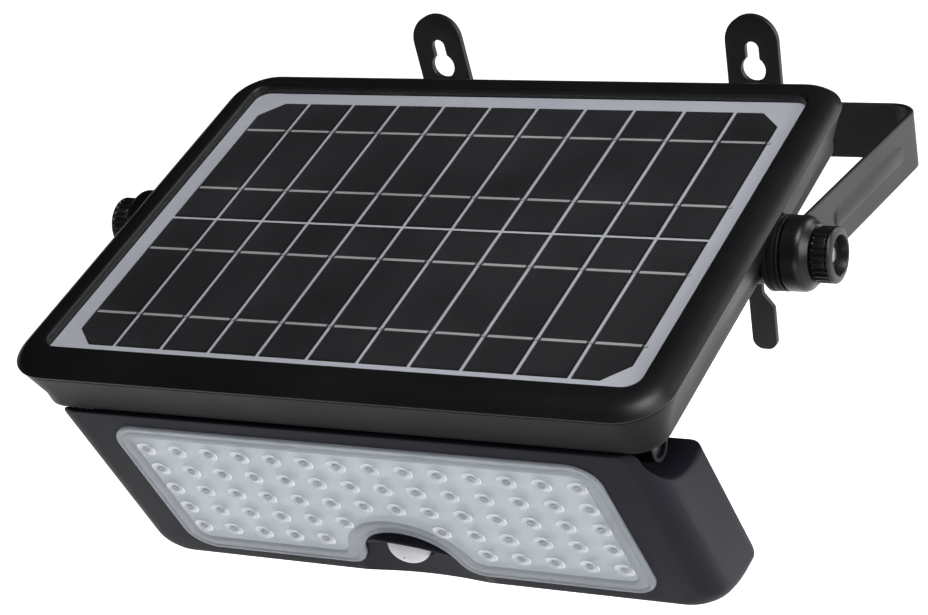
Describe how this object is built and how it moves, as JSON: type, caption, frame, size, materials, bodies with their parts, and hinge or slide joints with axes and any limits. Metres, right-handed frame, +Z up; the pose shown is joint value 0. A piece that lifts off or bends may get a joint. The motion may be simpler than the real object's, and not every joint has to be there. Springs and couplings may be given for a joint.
{
  "type": "solar flood light",
  "caption": "Solar panel housing clamped between the arms of a U bracket, with a hinged LED lamp head and motion sensor under its front edge and keyhole straps for a wall.",
  "frame": {"origin": "middle of the U bracket's flat back face, midway between the strap bolts", "axes": "+X to the right seen from the front, along the pivot axes; +Y back towards the wall; +Z up"},
  "size_m": [0.3004, 0.2414, 0.1568],
  "materials": {
    "housing_black": "fine satin moulded texture",
    "bracket_black": "satin black powder coat",
    "knob_black": "matte",
    "zinc_steel": "bright zinc",
    "brass_insert": "machined",
    "black_rubber": "matte",
    "panel_glass": "clear gloss",
    "cell_laminate": "dark cells on a pale backing under clear film",
    "lens_clear": "frosted, translucent",
    "board_white": "white solder mask",
    "board_green": "green solder mask",
    "cell_wrap": "shrink wrap",
    "sensor_white": "milky"
  },
  "bodies": {
    "bracket": {"u_bracket": "bracket_black", "clamp_cup_left": "housing_black", "clamp_cup_right": "housing_black", "strap_bolt_left": "zinc_steel", "strap_bolt_right": "zinc_steel", "strap_nut_left": "zinc_steel", "strap_nut_right": "zinc_steel"},
    "strap_left": {"wall_strap_left": "bracket_black"},
    "strap_right": {"wall_strap_right": "bracket_black"},
    "housing": {"bezel_frame": "housing_black", "housing_tray": "housing_black", "panel_gasket": "black_rubber", "solar_laminate": "cell_laminate", "cover_glass": "panel_glass", "battery_cradle": "housing_black", "battery_cell_1": "cell_wrap", "battery_cell_2": "cell_wrap", "charge_board": "board_green", "pivot_bolt_left": "zinc_steel", "pivot_bolt_right": "zinc_steel", "friction_washer_left": "black_rubber", "friction_washer_right": "black_rubber", "housing_screw_1": "zinc_steel", "housing_screw_2": "zinc_steel", "housing_screw_3": "zinc_steel", "housing_screw_4": "zinc_steel"},
    "knob_left": {"knob_left": "knob_black", "knob_insert_left": "brass_insert"},
    "knob_right": {"knob_right": "knob_black", "knob_insert_right": "brass_insert"},
    "head": {"head_front_case": "housing_black", "head_rear_cover": "housing_black", "lens_plate": "lens_clear", "lens_gasket": "black_rubber", "led_board": "board_white", "pir_dome": "sensor_white", "pir_sensor": "zinc_steel", "hinge_pin_left": "zinc_steel", "hinge_pin_right": "zinc_steel", "hinge_washer_left": "black_rubber", "hinge_washer_right": "black_rubber", "hinge_nut_left": "zinc_steel", "hinge_nut_right": "zinc_steel", "board_screw_1": "zinc_steel", "board_screw_2": "zinc_steel", "board_screw_3": "zinc_steel", "board_screw_4": "zinc_steel", "board_screw_5": "zinc_steel", "board_screw_6": "zinc_steel", "board_screw_7": "zinc_steel", "board_screw_8": "zinc_steel", "board_screw_9": "zinc_steel", "cover_screw_1": "zinc_steel", "cover_screw_2": "zinc_steel", "cover_screw_3": "zinc_steel", "cover_screw_4": "zinc_steel"},
    "mode_button": {"mode_button": "black_rubber"}
  },
  "joints": [
    {"name": "panel_tilt", "type": "hinge", "parent": "bracket", "child": "housing", "pos_m": [0, -0.125, 0], "axis": [1, 0, 0], "range_deg": [-60, 90]},
    {"name": "head_tilt", "type": "hinge", "parent": "housing", "child": "head", "pos_m": [0, -0.20328, -0.03801], "axis": [1, 0, 0], "range_deg": [0, 65]},
    {"name": "strap_left_swivel", "type": "hinge", "parent": "bracket", "child": "strap_left", "pos_m": [-0.0675, 0, 0], "axis": [0, 1, 0], "range_deg": [-30, 30]},
    {"name": "strap_right_swivel", "type": "hinge", "parent": "bracket", "child": "strap_right", "pos_m": [0.0675, 0, 0], "axis": [0, 1, 0], "range_deg": [-30, 30]},
    {"name": "knob_left_turn", "type": "hinge", "parent": "housing", "child": "knob_left", "pos_m": [-0.146, -0.125, 0], "axis": [-1, 0, 0], "range_deg": [0, 540]},
    {"name": "knob_right_turn", "type": "hinge", "parent": "housing", "child": "knob_right", "pos_m": [0.146, -0.125, 0], "axis": [1, 0, 0], "range_deg": [0, 540]},
    {"name": "mode_press", "type": "slide", "parent": "head", "child": "mode_button", "axis": [0, -0.8704, -0.4924], "range_m": [0, 0.001], "stiffness_N_per_m": 1500}
  ]
}
